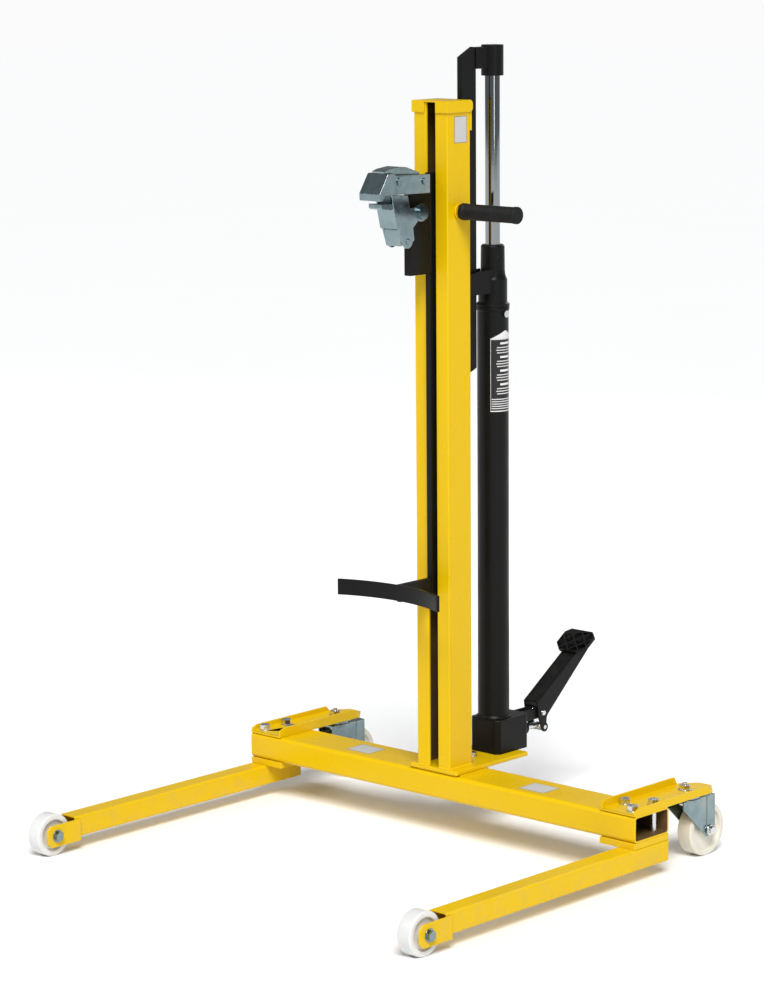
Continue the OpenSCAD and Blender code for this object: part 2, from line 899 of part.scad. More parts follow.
module cradle_arm() {
    color(black) side_plate(10) translate([cradle_face + cradle_t, cradle_z - 3])
        square([bar_front - cradle_face - cradle_t, cradle_h + 3]);
}

module roller_axles() {
    color(zinc) for (z = [guide_low_z, guide_high_z]) {
        bar_x(8, -guide_x - guide_w, guide_x + guide_w, mast_y, z);
        both_sides() bar_x(13, bar_t / 2, guide_x - apart, mast_y, z);
    }
}

module guide_roller(side, z) {
    color(nylon) mirror([side > 0 ? 0 : 1, 0, 0])
        ring_x(guide_r, 8 + fit, guide_x, guide_x + guide_w, mast_y, z);
}

module upper_left_roller() {
    guide_roller(-1, guide_high_z);
}

module upper_right_roller() {
    guide_roller(1, guide_high_z);
}

module lower_left_roller() {
    guide_roller(-1, guide_low_z);
}

module lower_right_roller() {
    guide_roller(1, guide_low_z);
}

// ---- rim clamp -----------------------------------------------------------------------

module beak_cheek(x) {
    side_plate(clamp_t, x) difference() {
        translate([beam_y, 0]) polygon([
            [-28, 1230], [-28, 1265], [-139, 1269], [-160, 1235],
            [-159, 1223.5], [-155, 1223.5], [-148, 1233]
        ]);
        translate(beak_pivot) circle(r = beak_pin_r + fit);
        translate(rivet_at) circle(r = 6);
    }
}

// Two cheeks, a slanted front web between them, and a raised strip along the top
module clamp_beak() {
    x = beak_half_w - clamp_t / 2;
    color(zinc) {
        beak_cheek(x);
        beak_cheek(-x);
        side_plate(2 * beak_half_w) translate([beam_y, 0]) polygon([
            [-122, 1271.5], [-140.5, 1271.5], [-163.5, 1236], [-163, 1223],
            [-159, 1223], [-159.5, 1234.5], [-138.5, 1267], [-122, 1267]
        ]);
        side_plate(30) translate([beam_y, 0]) polygon([
            [-138, 1267], [-141, 1275], [-128, 1279], [-100, 1282], [-80, 1280],
            [-45, 1268.5], [-45, 1262.8], [-122, 1266]
        ]);
    }
}

module beak_rivet() {
    color(zinc) translate([0, rivet_at[0], rivet_at[1]]) {
        bar_x(6, -beak_half_w - 1, beak_half_w + 1, 0, 0);
        both_sides() bar_x(8, beak_half_w, beak_half_w + 2.5, 0, 0);
    }
}

// Side plate of the lower jaw: an upright arm, the pivot boss behind it and a lobe below
module jaw_cheek(x) {
    side_plate(clamp_t, x) difference() {
        union() {
            translate([beam_y, 0]) polygon([
                [-127, 1232.4], [-83.3, 1229.5], [-77.2, 1205], [-58, 1207], [-46.4, 1195],
                [-58, 1178], [-69, 1169], [-66, 1146], [-84, 1135], [-99, 1142.8], [-121, 1203]
            ]);
            translate(jaw_pivot) circle(r = 16.5);
            translate(lobe_at) circle(r = 13);
        }
        translate(jaw_pivot) circle(r = jaw_pin_r + fit);
        translate(lobe_at) circle(r = 5);
    }
}

module clamp_jaw() {
    x = jaw_half_w - clamp_t / 2;
    color(zinc) {
        jaw_cheek(x);
        jaw_cheek(-x);
        side_plate(2 * jaw_half_w) translate([beam_y, 0]) polygon([
            [-121, 1201], [-113, 1169], [-109, 1170], [-117, 1203], [-117, 1215],
            [-122, 1215], [-122, 1205]
        ]);
        side_plate(2 * lip_half_w) translate([beam_y, 0]) polygon([
            [-118, 1215], [-149, 1217], [-149, 1209], [-145, 1206.5], [-118, 1204]
        ]);
        side_plate(2 * jaw_half_w - 6) translate([beam_y, 0]) polygon([
            [-106, 1168], [-101, 1137], [-97, 1137], [-102, 1168]
        ]);
    }
}

// Closing spring of the jaw: a coil round its own pin through the lower lobe
module jaw_spring() {
    turns = 7;
    wire_r = 1.6;
    half = jaw_half_w - clamp_t - 0.3;
    color(zinc) translate([0, lobe_at[0], lobe_at[1]]) {
        bar_x(5, -jaw_half_w - 1.5, jaw_half_w + 1.5, 0, 0);
        translate([-(turns - 1) * wire_r * 0.96, 0, 0]) rotate([0, 90, 0]) rotate_extrude()
            for (i = [0 : turns - 1]) {
                translate([6.2, i * 2 * wire_r * 0.96]) circle(r = wire_r, $fn = 16);
            }
    }
}

// ---- one line for each node ----------------------------------------------------------

cross_beam();
left_leg_tube();
right_leg_tube();
leg_plates();
wheel_fork_cheeks();
left_caster_plate();
right_caster_plate();
base_plate();
left_column();
right_column();
mast_cap();
mast_tie();
handle_bar();
handle_grip();
leg_bolts();
base_bolt();
jack_block();
jack_tube();
jack_gland();
rod_guide();
jack_stay();
bleed_screw();
pump_cylinder();
pedal_pin();
pedal_spring();
front_axles();
caster_heads();
caster_king_bolts();
carriage_bar();
lift_arm();
ram_head();
ram_rod();
ram_piston();
piston_seals();
clamp_bracket();
drum_cradle();
cradle_arm();
roller_axles();
clamp_pins();
upper_left_roller();
upper_right_roller();
lower_left_roller();
lower_right_roller();
clamp_beak();
beak_rivet();
clamp_jaw();
jaw_spring();
pedal_lever();
pedal_pad();
pump_roller();
pump_plunger();
release_valve();
left_front_wheel();
right_front_wheel();
left_caster_fork();
right_caster_fork();
left_caster_wheel();
right_caster_wheel();
right_caster_axle();
left_caster_axle();
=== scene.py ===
import bpy, bmesh, json, math
from mathutils import Vector, Matrix

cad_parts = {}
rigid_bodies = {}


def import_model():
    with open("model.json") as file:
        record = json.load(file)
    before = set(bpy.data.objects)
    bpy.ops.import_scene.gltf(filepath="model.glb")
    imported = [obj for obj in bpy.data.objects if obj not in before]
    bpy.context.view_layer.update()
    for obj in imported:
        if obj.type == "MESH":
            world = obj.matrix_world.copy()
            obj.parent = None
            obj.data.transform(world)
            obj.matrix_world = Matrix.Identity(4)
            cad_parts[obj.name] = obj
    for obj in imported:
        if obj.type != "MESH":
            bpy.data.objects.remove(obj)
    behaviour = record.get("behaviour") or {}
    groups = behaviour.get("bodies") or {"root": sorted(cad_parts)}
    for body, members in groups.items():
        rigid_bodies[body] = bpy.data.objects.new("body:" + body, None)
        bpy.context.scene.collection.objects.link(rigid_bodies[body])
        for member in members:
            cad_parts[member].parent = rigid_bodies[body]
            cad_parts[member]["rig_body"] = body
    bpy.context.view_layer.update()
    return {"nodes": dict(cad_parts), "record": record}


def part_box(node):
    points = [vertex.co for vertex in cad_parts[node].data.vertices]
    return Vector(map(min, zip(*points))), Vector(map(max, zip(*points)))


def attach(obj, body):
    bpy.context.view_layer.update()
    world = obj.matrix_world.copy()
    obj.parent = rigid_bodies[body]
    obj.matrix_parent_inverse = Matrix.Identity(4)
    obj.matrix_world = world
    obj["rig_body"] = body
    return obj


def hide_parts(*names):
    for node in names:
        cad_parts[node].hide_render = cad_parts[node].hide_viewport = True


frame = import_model()
MM = 0.001
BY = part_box("cross_beam")[0].y            # the cross beam's front face, in metres
scene = bpy.context.scene


def Y(y):
    """A distance behind the cross beam's front face, as a Y of the frame in millimetres."""
    return y + BY / MM


MAST_Y = Y(34)                            # middle of the mast
HANDLE_Z = 1193                           # height of the handle bar
LEG_X = 467                               # middle of a leg tube
JACK_Y = Y(176)                           # axis of the jack
TUBE_R = 30                               # outer radius of the jack tube
ON_AXIS = 0.01                            # radius that closes a turned outline at its axis


# ---- camera, lights, floor ------------------------------------------------------------

AZIMUTH, ELEVATION, ROLL = 42.778, 9.975, -0.452        # degrees
LOOK_AT = (-0.0954, -0.0335 + BY, 0.6469)
DISTANCE, CLIP_END = 6.2975, 60                         # metres
LENS, SENSOR = 120.44, 36.0                             # millimetres

ROOM_COLOUR, ROOM_STRENGTH = (0.95, 0.97, 1.0, 1), 0.24     # what lights the object
SEEN_COLOUR, SEEN_STRENGTH = (1, 1, 1, 1), 0.965            # what the camera sees behind it
SUN_FROM, SUN_STRENGTH, SUN_SPREAD = (0.45, -0.48, 0.75), 3.3, 28
FLOOR_HALF = 30                                         # metres


def camera():
    """The photograph's viewpoint, with its slight roll."""
    a, e, roll = math.radians(AZIMUTH), math.radians(ELEVATION), math.radians(ROLL)
    target = Vector(LOOK_AT)
    back = Vector((math.sin(a) * math.cos(e), -math.cos(a) * math.cos(e), math.sin(e)))
    right0 = Vector((math.cos(a), math.sin(a), 0))
    up0 = back.cross(right0)
    right = math.cos(roll) * right0 + math.sin(roll) * up0
    up = -math.sin(roll) * right0 + math.cos(roll) * up0
    data = bpy.data.cameras.new("camera")
    cam = bpy.data.objects.new("camera", data)
    scene.collection.objects.link(cam)
    data.sensor_width = SENSOR
    data.lens = LENS
    data.clip_end = CLIP_END
    m = Matrix((right, up, back)).transposed().to_4x4()
    m.translation = target + back * DISTANCE
    cam.matrix_world = m
    scene.camera = cam


def area_light(name, place, target, size, power):
    data = bpy.data.lights.new(name, "AREA")
    data.shape = "RECTANGLE"
    data.size, data.size_y = size
    data.energy = power
    lamp = bpy.data.objects.new(name, data)
    scene.collection.objects.link(lamp)
    lamp.location = place
    lamp.rotation_euler = (Vector(target) - Vector(place)).to_track_quat("-Z", "Y").to_euler()


def studio():
    """A weak even room light, one broad sun and three small area lights."""
    scene.view_settings.view_transform = "Standard"
    scene.view_settings.look = "None"
    world = bpy.data.worlds.new("studio")
    scene.world = world
    world.use_nodes = True
    nt = world.node_tree
    nt.nodes.clear()
    out = nt.nodes.new("ShaderNodeOutputWorld")
    mix = nt.nodes.new("ShaderNodeMixShader")
    path = nt.nodes.new("ShaderNodeLightPath")
    room = nt.nodes.new("ShaderNodeBackground")
    seen = nt.nodes.new("ShaderNodeBackground")
    room.inputs[0].default_value = ROOM_COLOUR
    room.inputs[1].default_value = ROOM_STRENGTH
    seen.inputs[0].default_value = SEEN_COLOUR
    seen.inputs[1].default_value = SEEN_STRENGTH
    nt.links.new(path.outputs["Is Camera Ray"], mix.inputs[0])
    nt.links.new(room.outputs[0], mix.inputs[1])
    nt.links.new(seen.outputs[0], mix.inputs[2])
    nt.links.new(mix.outputs[0], out.inputs[0])
    sun = bpy.data.lights.new("sun", "SUN")
    sun.energy = SUN_STRENGTH
    sun.angle = math.radians(SUN_SPREAD)
    lamp = bpy.data.objects.new("sun", sun)
    scene.collection.objects.link(lamp)
    lamp.rotation_euler = Vector(SUN_FROM).to_track_quat("Z", "Y").to_euler()
    area_light("key", (-3.2, -4.6, 4.2), (0, 0, 0.7), (1.4, 2.4), 45)
    area_light("side", (4.8, -1.6, 2.6), (0, 0, 0.7), (0.8, 3.0), 30)
    area_light("rim", (-1.5, 4.4, 2.8), (0, 0, 0.8), (2.0, 2.4), 40)


# ---- shader helpers -------------------------------------------------------------------

class Shader:
    """A principled material that is put together from a few procedural layers."""

    def __init__(self, name, **sockets):
        self.m = bpy.data.materials.new(name)
        self.m.use_nodes = True
        self.t = self.m.node_tree
        self.p = next(n for n in self.t.nodes if n.type == "BSDF_PRINCIPLED")
        self.space = self.t.nodes.new("ShaderNodeTexCoord").outputs["Object"]
        self.bumps = None
        for key, value in sockets.items():
            self.p.inputs[key.replace("_", " ")].default_value = value

    def link(self, a, b):
        self.t.links.new(a, b)

    def noise(self, scale, detail=3.0, rough=0.55, stretch=None):
        n = self.t.nodes.new("ShaderNodeTexNoise")
        n.inputs["Scale"].default_value = scale
        n.inputs["Detail"].default_value = detail
        n.inputs["Roughness"].default_value = rough
        self.link(self.mapped(stretch), n.inputs["Vector"])
        return n.outputs["Fac"]

    def mapped(self, stretch):
        """Object coordinates, stretched if asked."""
        if stretch is None:
            return self.space
        m = self.t.nodes.new("ShaderNodeMapping")
        m.inputs["Scale"].default_value = stretch
        self.link(self.space, m.inputs["Vector"])
        return m.outputs["Vector"]

    def ramp(self, value, low, high, a=0.0, b=1.0):
        """Maps low..high to a..b."""
        n = self.t.nodes.new("ShaderNodeMapRange")
        n.inputs["From Min"].default_value = low
        n.inputs["From Max"].default_value = high
        n.inputs["To Min"].default_value = a
        n.inputs["To Max"].default_value = b
        self.link(value, n.inputs["Value"])
        return n.outputs["Result"]

    def math(self, kind, a, b):
        n = self.t.nodes.new("ShaderNodeMath")
        n.operation = kind
        for i, v in enumerate((a, b)):
            if isinstance(v, (int, float)):
                n.inputs[i].default_value = v
            else:
                self.link(v, n.inputs[i])
        return n.outputs[0]

    def mix(self, fac, a, b):
        n = self.t.nodes.new("ShaderNodeMix")
        n.data_type = "RGBA"
        self.link(fac, n.inputs[0])
        for socket, v in ((n.inputs[6], a), (n.inputs[7], b)):
            if isinstance(v, tuple):
                socket.default_value = (*v, 1)
            else:
                self.link(v, socket)
        return n.outputs[2]

    def height(self, axis):
        n = self.t.nodes.new("ShaderNodeSeparateXYZ")
        self.link(self.space, n.inputs[0])
        return n.outputs[axis]

    def facing_up(self):
        g = self.t.nodes.new("ShaderNodeNewGeometry")
        n = self.t.nodes.new("ShaderNodeSeparateXYZ")
        self.link(g.outputs["Normal"], n.inputs[0])
        return n.outputs["Z"]

    def bump(self, value, strength, distance):
        """Adds one more layer of bump on top of the ones before it."""
        n = self.t.nodes.new("ShaderNodeBump")
        n.inputs["Strength"].default_value = strength
        n.inputs["Distance"].default_value = distance
        self.link(value, n.inputs["Height"])
        if self.bumps is not None:
            self.link(self.bumps, n.inputs["Normal"])
        self.bumps = n.outputs["Normal"]
        self.link(self.bumps, self.p.inputs["Normal"])

    def colour(self, value):
        self.link(value, self.p.inputs["Base Color"])

    def rough(self, value):
        self.link(value, self.p.inputs["Roughness"])


def yellow_paint():
    s = Shader("yellow_powder_coat", Coat_Weight=0.05, Coat_Roughness=0.15,
               Specular_IOR_Level=0.16)
    tone = s.noise(3.5, 4)
    col = s.mix(tone, (0.69, 0.440, 0.001), (0.75, 0.485, 0.002))
    fleck = s.ramp(s.noise(160, 2), 0.66, 0.74)
    col = s.mix(s.math("MULTIPLY", fleck, 0.25), col, (0.75, 0.42, 0.01))
    dust = s.math("MULTIPLY", s.ramp(s.height("Z"), 0.11, 0.0),
                  s.ramp(s.noise(35, 5), 0.45, 0.75))
    col = s.mix(s.math("MULTIPLY", dust, 0.35), col, (0.42, 0.33, 0.16))
    scuff = s.ramp(s.noise(22, 8, 0.7, (1, 1, 7)), 0.70, 0.76)
    col = s.mix(s.math("MULTIPLY", scuff, 0.30), col, (0.62, 0.36, 0.03))
    s.colour(col)
    s.rough(s.math("ADD", s.ramp(s.noise(14, 5), 0.3, 0.7, 0.24, 0.36),
                   s.math("MULTIPLY", scuff, 0.2)))
    s.bump(s.noise(420, 2, 0.5), 0.10, 0.0004)
    s.bump(s.noise(60, 3, 0.5), 0.06, 0.0006)
    return s.m


def black_paint():
    s = Shader("black_gloss_paint", Specular_IOR_Level=0.16)
    col = s.mix(s.noise(9, 4), (0.0035, 0.0037, 0.0034), (0.0065, 0.0067, 0.0064))
    dust = s.math("MULTIPLY", s.ramp(s.facing_up(), 0.3, 1.0), s.ramp(s.noise(50, 6), 0.35, 0.8))
    col = s.mix(s.math("MULTIPLY", dust, 0.10), col, (0.12, 0.115, 0.10))
    worn = s.ramp(s.noise(38, 9, 0.72, (1, 1, 3)), 0.71, 0.76)
    col = s.mix(s.math("MULTIPLY", worn, 0.35), col, (0.05, 0.05, 0.052))
    s.colour(col)
    s.rough(s.ramp(s.noise(18, 5), 0.3, 0.7, 0.30, 0.44))
    s.bump(s.noise(380, 2, 0.5), 0.16, 0.0004)
    return s.m


def zinc_plate():
    s = Shader("zinc_plating", Metallic=1.0)
    blotch = s.noise(26, 5, 0.6)
    col = s.mix(blotch, (0.11, 0.18, 0.20), (0.38, 0.46, 0.48))
    tint = s.ramp(s.noise(11, 3), 0.5, 0.75)
    col = s.mix(s.math("MULTIPLY", tint, 0.35), col, (0.55, 0.55, 0.44))
    s.colour(col)
    s.rough(s.ramp(s.noise(70, 6, 0.65), 0.25, 0.75, 0.12, 0.30))
    s.bump(s.noise(260, 4, 0.6), 0.22, 0.0003)
    s.bump(s.noise(90, 2, 0.5, (1, 1, 12)), 0.10, 0.0003)
    return s.m


def bright_steel():
    s = Shader("bright_zinc_fastener", Metallic=1.0)
    s.colour(s.mix(s.noise(60, 4), (0.55, 0.57, 0.58), (0.80, 0.81, 0.80)))
    s.rough(s.ramp(s.noise(120, 5), 0.3, 0.7, 0.16, 0.32))
    s.bump(s.noise(500, 3), 0.14, 0.0002)
    return s.m


def chrome_rod():
    s = Shader("hard_chrome", Metallic=1.0)
    s.colour(s.mix(s.noise(8, 3, 0.5, (1, 1, 0.3)), (0.22, 0.24, 0.25), (0.36, 0.38, 0.39)))
    s.rough(s.ramp(s.noise(45, 4, 0.6, (1, 1, 0.25)), 0.3, 0.75, 0.05, 0.14))
    s.bump(s.noise(900, 2, 0.5, (0.2, 0.2, 3)), 0.04, 0.0001)
    return s.m


def nylon(name, light, dark, smudge):
    s = Shader(name, Specular_IOR_Level=0.45, Subsurface_Weight=0.18, Subsurface_Scale=0.006)
    col = s.mix(s.noise(14, 4), dark, light)
    mark = s.ramp(s.noise(34, 7, 0.65), 0.58, 0.78)
    col = s.mix(s.math("MULTIPLY", mark, 0.22), col, smudge)
    s.colour(col)
    s.rough(s.ramp(s.noise(40, 5), 0.3, 0.7, 0.26, 0.40))
    s.bump(s.noise(300, 3), 0.06, 0.0003)
    return s.m


def rubber():
    s = Shader("black_rubber", Specular_IOR_Level=0.20)
    s.colour(s.mix(s.noise(60, 5), (0.006, 0.006, 0.006), (0.012, 0.012, 0.012)))
    s.rough(s.ramp(s.noise(90, 4), 0.3, 0.7, 0.48, 0.64))
    s.bump(s.noise(700, 3), 0.20, 0.0003)
    return s.m


def bronze():
    s = Shader("bearing_bronze", Metallic=1.0)
    s.colour(s.mix(s.noise(40, 4), (0.50, 0.32, 0.12), (0.62, 0.42, 0.18)))
    s.rough(s.ramp(s.noise(80, 4), 0.3, 0.7, 0.28, 0.42))
    s.bump(s.noise(400, 2, 0.5, (1, 1, 4)), 0.08, 0.0002)
    return s.m


def printed(name, light, dark):
    s = Shader(name, Specular_IOR_Level=0.45)
    s.colour(s.mix(s.noise(30, 3), dark, light))
    s.rough(s.ramp(s.noise(25, 4), 0.3, 0.7, 0.30, 0.45))
    s.bump(s.noise(500, 2), 0.04, 0.0002)
    return s.m


def floor_material():
    s = Shader("pale_floor", Specular_IOR_Level=0.1)
    s.colour(s.mix(s.noise(1.2, 2), (0.97, 0.97, 0.97), (0.985, 0.985, 0.985)))
    s.p.inputs["Roughness"].default_value = 0.8
    return s.m


def deep_shade_paint():
    """Dark brown painted shade for the faces deep inside the open cross beam and mast channel;
    in the beam it also stands for the unpainted steel inside.
    """
    s = Shader("painted_deep_shade", Specular_IOR_Level=0.2)
    s.colour(s.mix(s.noise(18, 5), (0.075, 0.040, 0.014), (0.15, 0.085, 0.030)))
    s.rough(s.ramp(s.noise(40, 4), 0.3, 0.7, 0.5, 0.7))
    s.bump(s.noise(200, 3), 0.1, 0.0003)
    return s.m


# ---- mesh helpers ---------------------------------------------------------------------

BEVEL_ABOVE = math.radians(32)            # edges that fold more than this are rounded
MERGE, FLAT = 2e-6, math.radians(0.6)     # metres; angle under which CAD facets are joined
STRAIGHT = math.radians(172)              # corners opener than this stay as they are
BEAD_RIPPLE, BEAD_PITCH = 0.22, 3.2       # weld bead: share of its radius, millimetres


def add(name, bm, material, body, stands_for=(), smooth=35):
    """Makes a piece from a bmesh in millimetres and lets it ride on a body."""
    bmesh.ops.scale(bm, vec=(MM, MM, MM), verts=bm.verts)
    finish_piece(name, bm, material, body, stands_for, smooth)


def finish_piece(name, bm, material, body, stands_for, smooth, bevel=0.0, segments=2):
    """Makes a piece from a bmesh in metres; its bevel is in millimetres."""
    bmesh.ops.recalc_face_normals(bm, faces=bm.faces)
    me = bpy.data.meshes.new(name)
    bm.to_mesh(me)
    bm.free()
    o = bpy.data.objects.new(name, me)
    scene.collection.objects.link(o)
    me.materials.append(material)
    for poly in me.polygons:
        poly.use_smooth = True
    if bevel:
        b = o.modifiers.new("edges", "BEVEL")
        b.limit_method = "ANGLE"
        b.angle_limit = BEVEL_ABOVE
        b.width = bevel * MM
        b.segments = segments
        b.use_clamp_overlap = False
        b.harden_normals = False
        b.miter_outer = "MITER_ARC"
        w = o.modifiers.new("normals", "WEIGHTED_NORMAL")
        w.keep_sharp = True
        w.weight = 80
    else:
        me.set_sharp_from_angle(angle=math.radians(smooth))
    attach(o, body)
    if stands_for:
        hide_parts(*stands_for)
    return o


def body_of(node):
    return frame["nodes"][node]["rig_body"]


SLOTS = {s["node"]: s["material_slot"] for s in frame["record"]["subparts"]}


def rounded(node, material, bevel, segments, inside, deep_shade_material):
    """A copy of a CAD node with its hard edges broken; faces deep inside it get a dark lining of
    painted shade.
    """
    bm = bmesh.new()
    bm.from_mesh(frame["nodes"][node].data)
    bmesh.ops.remove_doubles(bm, verts=bm.verts, dist=MERGE)
    bmesh.ops.dissolve_limit(bm, angle_limit=FLAT, verts=bm.verts, edges=bm.edges,
                             delimit={"NORMAL"})
    # Faces deep inside take the second material, the dark lining of painted shade.
    if inside:
        for face in bm.faces:
            if inside(face.calc_center_median() / MM):
                face.material_index = 1
    o = finish_piece("skin_" + node, bm, material, body_of(node), (node,), 35,
                     bevel, segments)
    if inside:
        o.data.materials.append(deep_shade_material)


def fillet(points, r):
    """Rounds the corners of a closed outline, each with a few short steps."""
    steps = 3
    out = []
    n = len(points)
    for i in range(n):
        p = Vector(points[i])
        a, b = Vector(points[i - 1]), Vector(points[(i + 1) % n])
        u, v = (a - p), (b - p)
        la, lb = u.length, v.length
        u.normalize()
        v.normalize()
        angle = math.acos(max(-1, min(1, u.dot(v))))
        cut = min(r / max(math.tan(angle / 2), 0.05), la * 0.45, lb * 0.45)
        if angle > STRAIGHT:
            out.append(p)
            continue
        s, e = p + u * cut, p + v * cut
        for k in range(steps + 1):
            t = k / steps
            out.append((1 - t) ** 2 * s + 2 * t * (1 - t) * p + t * t * e)
    return out


def circle(n):
    """The angles of n points round a circle."""
    return [2 * math.pi * k / n for k in range(n)]


def lathe(profile, segments, matrix, bm=None):
    """Turns a closed outline of (radius, height) about Z, in millimetres, then places it."""
    bm = bm or bmesh.new()
    rings = []
    for a in circle(segments):
        c, d = math.cos(a), math.sin(a)
        rings.append([bm.verts.new((r * c, r * d, z)) for r, z in profile])
    n = len(profile)
    new = [v for ring in rings for v in ring]
    for k in range(segments):
        r0, r1 = rings[k], rings[(k + 1) % segments]
        for i in range(n):
            bm.faces.new((r0[i], r1[i], r1[(i + 1) % n], r0[(i + 1) % n]))
    bmesh.ops.transform(bm, matrix=matrix, verts=new)
    return bm


def along_x(place):
    """Matrix that lays the Z axis along X at a place."""
    return Matrix.Translation(Vector(place)) @ Matrix.Rotation(math.pi / 2, 4, "Y")


def plate(outline, thickness, matrix):
    """Extrudes an outline of (u, v) by a thickness centred on w = 0, then places it."""
    bm = bmesh.new()
    half = thickness / 2
    low = [bm.verts.new((p[0], p[1], -half)) for p in outline]
    high = [bm.verts.new((p[0], p[1], half)) for p in outline]
    n = len(outline)
    bm.faces.new(list(reversed(low)))
    bm.faces.new(high)
    for i in range(n):
        bm.faces.new((low[i], low[(i + 1) % n], high[(i + 1) % n], high[i]))
    bmesh.ops.transform(bm, matrix=matrix, verts=low + high)
    return bm


def sweep(bm, points, radius, closed=False, ripple=0.0):
    """A round bar, or a rippled weld bead, along a row of points in millimetres."""
    sides = 8
    pts = [Vector(p) for p in points]
    n = len(pts)
    rings, up, run = [], None, 0.0
    for i, p in enumerate(pts):
        if closed:
            d = (pts[(i + 1) % n] - pts[i - 1]).normalized()
        else:
            d = (pts[min(i + 1, n - 1)] - pts[max(i - 1, 0)]).normalized()
        if up is None:
            up = Vector((0, 0, 1)) if abs(d.z) < 0.9 else Vector((1, 0, 0))
        side = d.cross(up).normalized()
        up = side.cross(d).normalized()
        if i:
            run += (p - pts[i - 1]).length
        r = radius * (1 + ripple * abs(math.sin(math.pi * run / BEAD_PITCH)) - ripple * 0.5)
        if not closed and ripple and (i == 0 or i == n - 1):
            r *= 0.5
        rings.append([bm.verts.new(p + (side * math.cos(t) + up * math.sin(t)) * r)
                      for t in circle(sides)])
    last = n if closed else n - 1
    for i in range(last):
        a, b = rings[i], rings[(i + 1) % n]
        for k in range(sides):
            bm.faces.new((a[k], a[(k + 1) % sides], b[(k + 1) % sides], b[k]))
    if not closed:
        bm.faces.new(list(reversed(rings[0])))
        bm.faces.new(rings[-1])


def line(a, b, step):
    """Points about one step apart from a to b."""
    a, b = Vector(a), Vector(b)
    n = max(2, int((b - a).length / step))
    return [a + (b - a) * (i / n) for i in range(n + 1)]


def weld(bm, a, b, radius=2.6):
    """A straight weld bead from a to b."""
    sweep(bm, line(a, b, 0.8), radius, ripple=BEAD_RIPPLE)


# ---- materials ------------------------------------------------------------------------

YELLOW, BLACK, ZINC = yellow_paint(), black_paint(), zinc_plate()
STEEL, CHROME, RUBBER, BRONZE = bright_steel(), chrome_rod(), rubber(), bronze()
WHITE_NYLON = nylon("white_nylon", (0.74, 0.74, 0.73), (0.66, 0.66, 0.64), (0.42, 0.40, 0.35))
CREAM_NYLON = nylon("cream_nylon", (0.72, 0.70, 0.62), (0.63, 0.60, 0.50), (0.42, 0.38, 0.28))
DEEP_SHADE = deep_shade_paint()
MATERIAL_OF_SLOT = {"yellow_paint": YELLOW, "black_paint": BLACK, "zinc_plate": ZINC,
                    "bright_steel": STEEL, "white_nylon": WHITE_NYLON, "black_rubber": RUBBER,
                    "bronze": BRONZE}

done = set()                              # CAD nodes that have a visual piece


def skin(nodes, bevel, segments=2, inside=None):
    for n in nodes:
        rounded(n, MATERIAL_OF_SLOT[SLOTS[n]], bevel, segments, inside, DEEP_SHADE)
        done.add(n)


def in_beam(p):
    """Whether a point in millimetres is inside the cross beam, away from its open ends."""
    return abs(p.y - Y(50)) < 47.5 and abs(p.z - 103) < 22.5 and abs(p.x) < 486


def in_channel(p):
    """Whether a point in millimetres is inside the mast, below its cap."""
    return abs(p.y - MAST_Y) < 27.5 and abs(p.x) < 37 and p.z < 1392


# The inside faces of the beam and the mast channel get the dark lining of painted shade.
skin(["cross_beam"], 0.7, inside=in_beam)
skin(["left_leg_tube", "right_leg_tube"], 0.7)
skin(["left_column", "right_column"], 0.6, inside=in_channel)
skin(["leg_plates", "wheel_fork_cheeks", "left_caster_plate", "right_caster_plate"], 0.9)
skin(["base_plate"], 1.6, 3)
skin(["mast_cap", "mast_tie"], 0.8)
skin(["jack_block"], 1.8, 3)
skin(["jack_gland"], 0.5)
skin(["pedal_pad", "ram_head"], 0.6)
skin(["jack_stay", "lift_arm", "carriage_bar", "clamp_bracket", "cradle_arm"], 0.8)
skin(["drum_cradle"], 1.0)
skin(["clamp_beak", "clamp_jaw"], 0.8)
skin(["pedal_lever"], 1.0)
skin(["leg_bolts", "base_bolt", "caster_king_bolts", "front_axles", "left_caster_axle",
      "right_caster_axle", "pedal_pin"], 0.6)
skin(["left_caster_fork", "right_caster_fork", "caster_heads"], 0.7)
skin(["release_valve"], 0.7)


# ---- wheels ---------------------------------------------------------------------------

BORE_R, RIM_DEPTH, DISH_DEPTH = 6.1, 12, 6
CASTER_TURN = math.radians(-1.0)          # the casters stand turned by this


def wheel_piece(node, material):
    """Moulded nylon wheel: rounded tread, dished sides and a raised hub."""
    lo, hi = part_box(node)
    mid = (lo + hi) / 2 / MM
    swivel = "caster" in node
    radius = (hi.z - lo.z) / 2 / MM
    # half widths over the hub and the tread, and the hub's radius
    hub, tread, hub_r = (17.7, 16.0, 14.0) if swivel else (19.7, 15.0, 12.0)
    rim, dish = radius - RIM_DEPTH, tread - DISH_DEPTH
    half = [(BORE_R, hub - 0.8), (7.0, hub), (hub_r, hub), (hub_r + 1, dish),
            (rim, dish), (rim + 1.5, tread), (radius - 2, tread), (radius, tread - 2)]
    profile = fillet(half + [(r, -x) for r, x in reversed(half)], 1.3)
    turn = Matrix.Rotation(CASTER_TURN if swivel else 0.0, 4, "Z")
    bm = lathe(profile, 112, Matrix.Translation(mid) @ turn @ along_x((0, 0, 0)))
    add("moulded_" + node, bm, material, body_of(node), (node,), 40)
    done.add(node)


for n in ("left_front_wheel", "right_front_wheel"):
    wheel_piece(n, WHITE_NYLON)
for n in ("left_caster_wheel", "right_caster_wheel"):
    wheel_piece(n, CREAM_NYLON)


# ---- jack -----------------------------------------------------------------------------

TUBE_BORE_R, ROD_R = 27.2, 14


def turned(name, profile, material, node, segments, r):
    """A turned part on the jack's axis, with its corners rounded by r."""
    bm = lathe(fillet(profile, r), segments, Matrix.Translation((0, JACK_Y, 0)))
    add(name, bm, material, body_of(node), (node,), 38)
    done.add(node)


